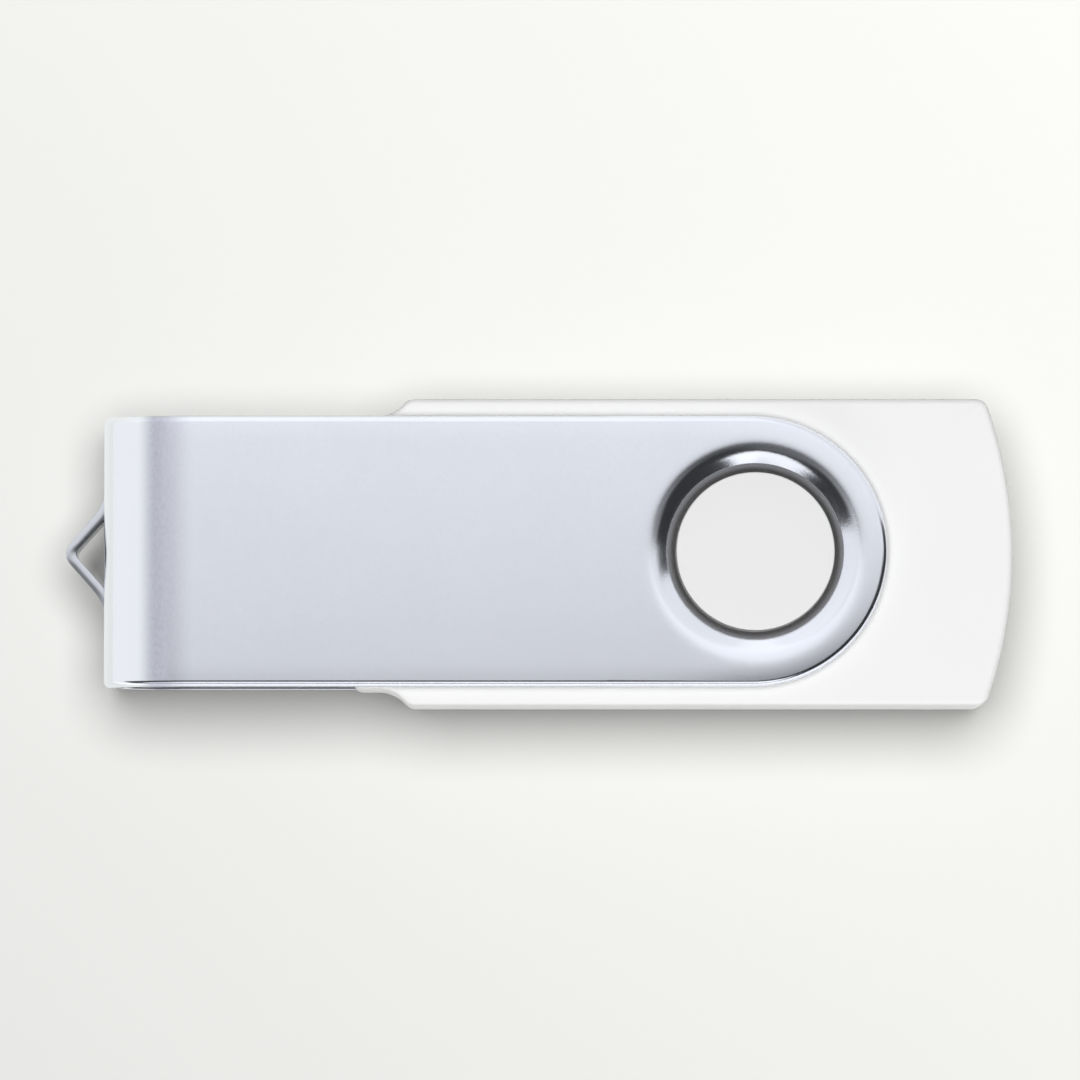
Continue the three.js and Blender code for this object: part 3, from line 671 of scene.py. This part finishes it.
def dimple_profile():
    """(radius, depth) pairs of the outside and of the inside, from the hole out to the flat."""
    foot = dimple_depth(LIP_RADIUS)
    slope_turn = math.atan(DIMPLE_GRADIENT)
    wall_turn = math.radians(LIP_TURN)
    lip = [
        (
            LIP_RADIUS - LIP_EDGE * (math.sin(turn) - math.sin(slope_turn)),
            foot + LIP_EDGE * (math.cos(slope_turn) - math.cos(turn)),
        )
        for turn in spread(wall_turn, slope_turn, steps=5)
    ]
    top_r, top_depth = lip[0]
    bottom = foot + LIP_DEPTH
    outside = [
        (HOLE_RADIUS + (top_r - HOLE_RADIUS) * t, bottom + (top_depth - bottom) * t)
        for t in (0.0, 0.25, 0.5, 0.75)
    ]
    outside += lip
    gathered = [t**1.5 for t in spread(0, 1, steps=24)[1:]]
    slope = [LIP_RADIUS + (DIMPLE_RADIUS - LIP_RADIUS) * t for t in gathered]
    outside += [(r, dimple_depth(r)) for r in slope]
    collar_outer = HOLE_RADIUS + COLLAR_SHEET
    inside = [(collar_outer, bottom)]
    for r in spread(collar_outer, DIMPLE_RADIUS, len(outside) - 2):
        inside.append((r, SHEET + dimple_depth(r, HALF_SLOPE_RADIUS + INSIDE_SHIFT)))
    return outside, inside


def cover_arm_end(skin, columns, side):
    """The rings round the hole of one arm, and the rounded edge of the arm's end."""
    flat = COVER_HALF_WIDTH - OUTER_EDGE
    inner_flat = COVER_HALF_WIDTH - INNER_EDGE
    middle = [c for c in columns if c[1] == 0.0]
    left_outer = [(ARM_JOIN_X, c[0]) for c in middle[::-1]]
    left_inner = [(ARM_JOIN_X, c[2]) for c in middle[::-1]]
    outer_rim = left_outer + arm_edge_path(flat)[1:-1]
    inner_rim = left_inner + arm_edge_path(inner_flat)[1:-1]

    outside, inside = dimple_profile()
    spokes = [math.atan2(y, x) for x, y in outer_rim]
    to_rim = [*spread(0, RIM_GATHERS, steps=14)[1:], 1.0]
    outer = [circle(r, COVER_Z - depth, spokes, side) for r, depth in outside]
    inner = [circle(r, COVER_Z - depth, spokes, side) for r, depth in inside]
    for grid, rim, depth in ((outer, outer_rim, 0.0), (inner, inner_rim, SHEET)):
        start = grid[-1]
        for t in to_rim:
            grid.append(
                [
                    (a[0] + (b[0] - a[0]) * t, a[1] + (b[1] - a[1]) * t, side * (COVER_Z - depth))
                    for a, b in zip(start, rim)
                ]
            )
    skin.sheet(dropped(outer), dropped(inner), wrap=True, close=("first_row",))

    edge = [c for c in columns if c[0] >= flat - TINY]
    outer_edge = [
        [(x, y, side * (COVER_Z - c[1])) for x, y in arm_edge_path(c[0])] for c in edge
    ]
    inner_edge = [
        [(x, y, side * (COVER_Z - c[3])) for x, y in arm_edge_path(c[2])] for c in edge
    ]
    skin.sheet(dropped(outer_edge), dropped(inner_edge), close=("last_row",))


def dropped(grid):
    """The same points, each moved towards the housing as the arm's face is."""
    return [
        [(x, inset_y(y, z), z - math.copysign(face_drop(x, y), z)) for x, y, z in row]
        for row in grid
    ]


def circle(radius, z, spokes, side=1):
    return [(radius * math.cos(a), radius * math.sin(a), side * z) for a in spokes]


def swivel_cover():
    skin = Skin()
    columns = cover_columns()
    cover_bend(skin, columns)
    for side in (1, -1):
        cover_arm_end(skin, columns, side)
    return piece(
        "cover_shell",
        skin,
        "cover",
        MATERIALS["satin_aluminium"],
        replaces=("swivel_cover",),
        bevel=0.06,
        sharp=50,
    )


# ---------------------------------------------------------------- housing


def housing_plan(inset=0.0):
    """The housing seen from above, drawn inside its edge by inset, as evenly matched points."""
    front = HOUSING_FRONT + inset
    nose = NOSE_HALF_WIDTH - inset
    half = HOUSING_HALF_WIDTH - inset
    nose_corner = max(NOSE_CORNER - inset, SMALLEST_CORNER)
    foot = SHOULDER_INNER + inset
    crest = max(SHOULDER_OUTER - inset, SMALLEST_CORNER)
    corner = max(REAR_CORNER - inset, SMALLEST_REAR_CORNER)
    rear = REAR_RADIUS - inset
    rear_x = HOUSING_REAR - REAR_RADIUS
    turn = min(math.pi / 4, math.acos(1 - (half - nose) / (foot + crest)))
    ramp = half - nose - (foot + crest) * (1 - math.cos(turn))
    crest_x = SHOULDER_X + (foot + crest) * math.sin(turn) + ramp / math.tan(turn)
    corner_y = half - corner
    corner_x = rear_x + math.sqrt((rear - corner) ** 2 - corner_y**2)
    sweep = math.degrees(math.atan2(corner_y, corner_x - rear_x))
    turn = math.degrees(turn)

    side_points = 46
    side_ends = math.atan2(half, corner_x), math.atan2(half, crest_x)
    side_angles = np.linspace(*side_ends, side_points)
    nose_length = front + nose_corner - SHOULDER_X
    upper = arc(rear_x, 0, rear, 0, sweep, steps=18)
    upper += arc(corner_x, corner_y, corner, sweep, 90, steps=8, skip_first=True)
    upper += [(half / math.tan(a), half) for a in side_angles[1:-1]]
    upper += arc(crest_x, half - crest, crest, 90, 90 + turn, steps=8)
    upper += arc(SHOULDER_X, nose + foot, foot, -90 + turn, -90, steps=12)
    upper += [(SHOULDER_X + nose_length * t, nose) for t in NOSE_STATIONS]
    upper += arc(front + nose_corner, nose - nose_corner, nose_corner, 90, 180, steps=6)
    slot_side = min(SLOT_HALF_WIDTH, nose - nose_corner)
    upper += [(front, y) for y in (slot_side + SLOT_MARGIN, *slot_stations())]
    return upper + [(x, -y) for x, y in reversed(upper[1:-1])]


def slot_stations():
    """Places across the front where the plug's slot turns its corner, then on to the middle."""
    turned = [SLOT_HALF_WIDTH - SLOT_CORNER * (1 - cosine) for _, cosine in quarter(steps=4)]
    return [SLOT_HALF_WIDTH, *turned, *SLOT_MIDDLE]


def slot_heights():
    """The height of the slot's outline at each of those places."""
    corner = [SLOT_Z - SLOT_CORNER * (1 - sine) for sine, _ in quarter(steps=4)]
    return [0.0, *corner] + [SLOT_Z] * len(SLOT_MIDDLE)


def ring_at(inset, z, over_slot=False):
    """One ring of the housing's wall. Where it crosses the plug's slot it rises over it."""
    plan = housing_plan(inset)
    heights = [z] * len(plan)
    if over_slot:
        raised = slot_heights()
        half = len(plan) // 2
        for i, height in enumerate(raised):
            back = len(raised) - 1 - i
            if height > z:
                heights[half - back] = height
                heights[half + back] = height
    return [(x, y, h) for (x, y), h in zip(plan, heights)]


def housing_half(side, lip_down):
    """One half of the housing as a single closed skin. lip_down says whether it has the tongue
    that reaches past the seam or the step that takes it."""
    plan = housing_plan(0.0)
    spokes = [math.atan2(y, x) for x, y in plan]
    face_radii = (*BOSS_FACE_RINGS, BOSS_RADIUS - BOSS_EDGE)
    rings = [circle(r, BOSS_TOP, spokes) for r in face_radii]
    for sine, cosine in quarter(steps=4)[1:]:
        radius = BOSS_RADIUS - BOSS_EDGE * (1 - sine)
        rings.append(circle(radius, BOSS_TOP - BOSS_EDGE * (1 - cosine), spokes))

    groove_side_z = GROOVE_Z + GROOVE_FOOT
    groove_floor = (BOSS_RADIUS + GROOVE_FOOT, GROOVE_RADIUS - GROOVE_FOOT)
    rings += [circle(BOSS_RADIUS, z, spokes) for z in (BOSS_SIDE_Z, groove_side_z)]
    rings += [circle(r, GROOVE_Z, spokes) for r in groove_floor]
    rings += [circle(GROOVE_RADIUS, z, spokes) for z in (groove_side_z, HOUSING_Z - GROOVE_RIM)]
    rings.append(circle(GROOVE_RADIUS + GROOVE_RIM, HOUSING_Z, spokes))

    for sine, cosine in quarter(steps=6):
        rings.append(ring_at(HOUSING_EDGE * (1 - sine), HOUSING_Z - HOUSING_EDGE * (1 - cosine)))
    rings.append(ring_at(0.0, HOUSING_SIDE_Z))
    rings.append(ring_at(0.0, SEAM + SEAM_CHAMFER, over_slot=True))
    rings.append(ring_at(SEAM_CHAMFER, SEAM, over_slot=True))
    reach = -LIP_HEIGHT if lip_down else LIP_HEIGHT + LIP_PLAY
    lip_inset = LIP_INSET if lip_down else LIP_INSET - LIP_PLAY
    for inset, z in ((lip_inset, SEAM), (lip_inset, reach), (HOUSING_WALL, reach)):
        rings.append(ring_at(inset, z, over_slot=True))
    rings.append(ring_at(HOUSING_WALL, CAVITY_Z))
    rings += [circle(BOSS_CORE, z, spokes) for z in (CAVITY_Z, CORE_Z)]
    rings.append(circle(BOSS_FACE_RINGS[0], CORE_Z, spokes))

    skin = Skin()
    placed = [[(x, y, side * z) for x, y, z in ring] for ring in rings]
    skin.rings(placed, cap_start=True, cap_end=True)
    return skin


def housing():
    for name, side, lip_down in (("top", 1, True), ("bottom", -1, False)):
        piece(
            f"housing_{name}_shell",
            housing_half(side, lip_down),
            "housing",
            MATERIALS["white_plastic"],
            replaces=(f"housing_{name}",),
            sharp=35,
        )


# ---------------------------------------------------------------- plug


def plug_section(inset):
    """The plug shell's outline in (y, z), with stations at the edges of its windows."""
    half, height = PLUG_HIGH.y - inset, PLUG_HIGH.z - inset
    radius = max(PLUG_CORNER - inset, SMALLEST_PLUG_CORNER)
    edges = [PLUG_WINDOW_Y + side * PLUG_WINDOW_WIDTH / 2 for side in (-1, 1)]
    across = sorted([-e for e in edges] + [0.0] + edges)
    top = [(y, height) for y in across[::-1]]
    bottom = [(y, -height) for y in across]
    y, z = half - radius, height - radius
    outline = arc(y, z, radius, 0, 90, steps=6) + top
    outline += arc(-y, z, radius, 90, 180, steps=6)
    outline += arc(-y, -z, radius, 180, 270, steps=6) + bottom
    outline += arc(y, -z, radius, 270, 360, steps=6)
    return outline


def plug_shell():
    tip = PLUG_LOW.x
    window = (tip + PLUG_WINDOW_X, tip + PLUG_WINDOW_X + PLUG_WINDOW_LENGTH)
    rows = []
    for sine, cosine in reversed(quarter(steps=3)):
        rounded = PLUG_MOUTH * (1 - cosine)
        rows.append((tip + PLUG_MOUTH * (1 - sine), rounded, PLUG_SHEET - rounded))
    stations = [tip + PLUG_BEFORE_WINDOW, *window, tip + PLUG_PAST_WINDOW, PLUG_REAR]
    rows += [(x, 0.0, PLUG_SHEET) for x in stations]
    outer = [[(x, y, z) for y, z in plug_section(i)] for x, i, _ in rows]
    inner = [[(x, y, z) for y, z in plug_section(i)] for x, _, i in rows]

    section = plug_section(0.0)
    removed = np.zeros((len(rows) - 1, len(section)), bool)
    first = [r[0] for r in rows].index(window[0])
    for column in range(len(section)):
        y, z = section[column]
        y_next, z_next = section[(column + 1) % len(section)]
        flat = z == z_next and abs(z) == PLUG_HIGH.z
        middle = abs((y + y_next) / 2)
        removed[first, column] = flat and abs(middle - PLUG_WINDOW_Y) < PLUG_WINDOW_WIDTH / 2
    skin = Skin()
    skin.sheet(outer, inner, removed=removed, wrap=True, close=("first_row", "last_row"))
    return piece(
        "plug_shell",
        skin,
        "housing",
        MATERIALS["plated_steel"],
        replaces=("usb_plug_shell",),
        bevel=0.04,
        sharp=50,
    )


def block_skin(low, high, rounding):
    """A block with rounded edges, as a stack of rounded rectangles."""
    turns = quarter(steps=3)
    levels = [(low[2] + rounding * (1 - c), rounding * (1 - s)) for s, c in turns]
    levels += [(high[2] - rounding * (1 - c), rounding * (1 - s)) for s, c in reversed(turns)]
    rings = []
    for z, inset in levels:
        x0, x1 = low[0] + inset + rounding, high[0] - inset - rounding
        y0, y1 = low[1] + inset + rounding, high[1] - inset - rounding
        corners = ((x1, y1, 0), (x0, y1, 90), (x0, y0, 180), (x1, y0, 270))
        rings.append(
            [
                (x, y, z)
                for corner_x, corner_y, start in corners
                for x, y in arc(corner_x, corner_y, rounding, start, start + 90, steps=3)
            ]
        )
    skin = Skin()
    skin.rings(rings, cap_start=True, cap_end=True)
    return skin


def plug_inside():
    for node in CONTACT_NODES:
        low, high = local_box(node)
        piece(
            node.replace("usb_contact", "contact_strip"),
            block_skin(low, high, CONTACT_EDGE),
            "housing",
            MATERIALS["gold_plate"],
            replaces=(node,),
        )


# ---------------------------------------------------------------- pieces kept from the model


def finish_kept_nodes():
    """Every CAD node that still shows gets the material of its own slot."""
    slots = {s["node"]: s["material_slot"] for s in frame["record"]["subparts"]}
    for name, node in frame["nodes"].items():
        node.data.materials.clear()
        node.data.materials.append(MATERIALS[slots[name]])


# ---------------------------------------------------------------- studio


def camera():
    """Straight above the drive, leaning very slightly to its near side, with a long lens."""
    distance = 0.6
    lean = math.radians(3.0)
    frame_width = 0.0667
    aim = Vector((0.0001, 0.00094, PIVOT.z))
    data = bpy.data.cameras.new("camera")
    data.sensor_width = 36.0
    data.lens = data.sensor_width * distance / frame_width
    data.clip_start = 0.01
    made = bpy.data.objects.new("camera", data)
    made.location = aim + Vector((0.0, -math.sin(lean), math.cos(lean))) * distance
    made.rotation_euler = (lean, 0.0, 0.0)
    bpy.context.scene.collection.objects.link(made)
    bpy.context.scene.camera = made


def floor():
    """A wide pale table, with painted light falloff that dims it towards the drive's near left."""
    mesh = bpy.data.meshes.new("floor")
    half = 1.5
    shading_reach = 0.066
    # painted light falloff: the table's colour grades across it, dimmer at the near left
    painted_falloff_dim, painted_falloff_bright = (0.244, 0.244, 0.239), (0.296, 0.298, 0.286)
    corners = [(-half, -half, 0), (half, -half, 0), (half, half, 0), (-half, half, 0)]
    mesh.from_pydata(corners, [], [(0, 1, 2, 3)])
    made = bpy.data.objects.new("floor", mesh)
    bpy.context.scene.collection.objects.link(made)
    n = Nodes("pale_table")
    n.set(Roughness=0.8, Specular_IOR_Level=0.1)
    across = n.vector_math("DOT_PRODUCT", n.place, (1.0, 1.0, 0.0))
    painted_falloff = n.span(across, 0.0, 1.0, -shading_reach, shading_reach)
    made.data.materials.append(n.surface(n.mix(painted_falloff, painted_falloff_dim, painted_falloff_bright)))


def light_only(made, floor_state):
    """Lets a light reach the floor alone (INCLUDE) or all but the floor (EXCLUDE)."""
    bpy.context.scene.collection.objects.link(made)
    receivers = bpy.data.collections.new(f"{made.name}_receivers")
    receivers.objects.link(bpy.data.objects["floor"])
    receivers.collection_objects[0].light_linking.link_state = floor_state
    made.light_linking.receiver_collection = receivers


def floor_sun(direction, width_degrees, strength):
    """Even soft light for the floor alone, so that it is as pale far away as near the drive."""
    data = bpy.data.lights.new("floor_sun", "SUN")
    data.angle = math.radians(width_degrees)
    data.energy = strength
    made = bpy.data.objects.new("floor_sun", data)
    made.rotation_euler = Vector(direction).to_track_quat("Z", "Y").to_euler()
    made.visible_glossy = False
    light_only(made, "INCLUDE")


def soft_light(name, direction, distance, size, power):
    """A soft box that faces the drive and lights what isn't shiny, but not the floor. Its
    direction is given from the drive."""
    data = bpy.data.lights.new(name, "AREA")
    data.shape = "RECTANGLE"
    data.size, data.size_y = size
    data.energy = power
    made = bpy.data.objects.new(name, data)
    place_at = Vector(direction).normalized() * distance
    made.location = place_at
    made.rotation_euler = place_at.to_track_quat("Z", "Y").to_euler()
    made.visible_camera = False
    made.visible_glossy = False
    light_only(made, "EXCLUDE")


# The studio as the metal sees it: soft boxes on a ceiling over a dark room. Each is (left, right,
# front, back, slant of its front and back, softness across, softness along, brightness), with
# lengths as fractions of the ceiling's height.
FAR = 200.0
SOFT_BOXES = (
    (-0.6, 0.6, 0.01, FAR, 0.0, 0.4, 0.0565, 0.985),  # large, behind the drive, ending overhead
    (-FAR, 1.35, 0.01, FAR, 0.0, 0.75, 0.0565, 0.86),  # dimmer beside that, fading to the right
    (0.3, FAR, 0.1, FAR, -0.25, 0.1, 0.08, 0.86),  # its far right
    (-FAR, -0.17, 0.0, FAR, -0.22, 0.12, 0.09, 0.86),  # its far left, which reaches forward
    (-FAR, -1.95, -FAR, FAR, 0.0, 0.08, 0.1, 0.86),  # and all round, past that
    (-0.05, 0.5, -1.9, -0.8, 0.8, 0.05, 0.1, 1.2),  # a strip in front, on the right
    (-0.88, 0.05, -1.8, -0.8, -0.32, 0.1, 0.1, 1.1),  # and on the left
    (-FAR, FAR, -FAR, -2.6, 0.0, 0.1, 0.25, 1.1),  # the front of the room, low down
    (-0.6, -0.12, -0.25, FAR, 0.0, 0.12, 0.12, 0.22),  # dim, before the large one on the left
    (0.2, 1.0, -0.22, FAR, 0.0, 0.15, 0.12, 0.2),  # and on the right
    (-0.3, 0.05, -0.6, 0.0, 0.0, 0.1, 0.1, 0.1),  # dimmer, between the large one and the strip
)
HOT_SPOT = (-1.5, 0.3, 0.5, FAR, 0.0, 0.8, 0.5, 0.12)  # added to the large one
ROOM = 0.035  # added everywhere
TABLE = 0.93  # brightness of all that is lower than the drive


def world_light(world):
    """Soft boxes by direction, for reflections only. The camera sees a plain pale room."""
    tree = world.node_tree
    tree.nodes.clear()

    def math_node(operation, first, second=None):
        node = tree.nodes.new("ShaderNodeMath")
        node.operation = operation
        for value, socket in ((first, node.inputs[0]), (second, node.inputs[1])):
            if isinstance(value, (int, float)):
                socket.default_value = value
            elif value is not None:
                tree.links.new(value, socket)
        return node.outputs[0]

    def inside(value, low, high, softness):
        """1 between low and high, with soft edges."""
        both = []
        for edge, sign in ((low, 1), (high, -1)):
            node = tree.nodes.new("ShaderNodeMapRange")
            node.interpolation_type = "SMOOTHSTEP"
            node.inputs["From Min"].default_value = edge - sign * softness
            node.inputs["From Max"].default_value = edge + sign * softness
            tree.links.new(value, node.inputs["Value"])
            both.append(node.outputs["Result"])
        return math_node("MULTIPLY", *both)

    towards = tree.nodes.new("ShaderNodeTexCoord").outputs["Generated"]
    split = tree.nodes.new("ShaderNodeSeparateXYZ")
    tree.links.new(towards, split.inputs["Vector"])
    x, y, z = split.outputs
    height = math_node("MAXIMUM", z, 1 / FAR)
    across = math_node("DIVIDE", x, height)
    along = math_node("DIVIDE", y, height)

    def soft_box(left, right, front, back, slant, soft_across, soft_along, bright):
        slanted = math_node("ADD", along, math_node("MULTIPLY", across, slant))
        mask = math_node(
            "MULTIPLY",
            inside(across, left, right, soft_across),
            inside(slanted, front, back, soft_along),
        )
        return math_node("MULTIPLY", mask, bright)

    total = soft_box(*SOFT_BOXES[0])
    for box in SOFT_BOXES[1:]:
        total = math_node("MAXIMUM", total, soft_box(*box))
    total = math_node("ADD", total, soft_box(*HOT_SPOT))
    total = math_node("MULTIPLY", total, inside(z, 0.0, 2.0, 1 / FAR))
    table = math_node("MULTIPLY", inside(z, -2.0, 0.0, 1 / FAR), TABLE)
    total = math_node("ADD", total, table)
    total = math_node("ADD", total, ROOM)

    panels = tree.nodes.new("ShaderNodeBackground")
    panels.inputs["Color"].default_value = (0.97, 0.98, 1.0, 1.0)
    tree.links.new(total, panels.inputs["Strength"])
    pale = tree.nodes.new("ShaderNodeBackground")
    pale.inputs["Color"].default_value = (0.93, 0.93, 0.92, 1.0)
    choose = tree.nodes.new("ShaderNodeMixShader")
    tree.links.new(tree.nodes.new("ShaderNodeLightPath").outputs["Is Camera Ray"], choose.inputs[0])
    tree.links.new(panels.outputs[0], choose.inputs[1])
    tree.links.new(pale.outputs[0], choose.inputs[2])
    output = tree.nodes.new("ShaderNodeOutputWorld")
    tree.links.new(choose.outputs[0], output.inputs["Surface"])
    world.cycles_visibility.diffuse = False


def studio():
    scene = bpy.context.scene
    scene.view_settings.view_transform = "Standard"
    world = bpy.data.worlds.new("studio")
    world.use_nodes = True
    scene.world = world
    world_light(world)
    soft_light("key", (0.02, -0.05, 1.0), distance=0.6, size=(0.55, 0.55), power=4.45)
    floor_sun((0.01, 0.1, 1.0), width_degrees=42.0, strength=10.4)
    soft_light("front_fill", (0.0, -1.0, 0.3), distance=0.4, size=(0.3, 0.1), power=0.45)


swivel_cover()
housing()
plug_shell()
plug_inside()
finish_kept_nodes()
camera()
floor()
studio()
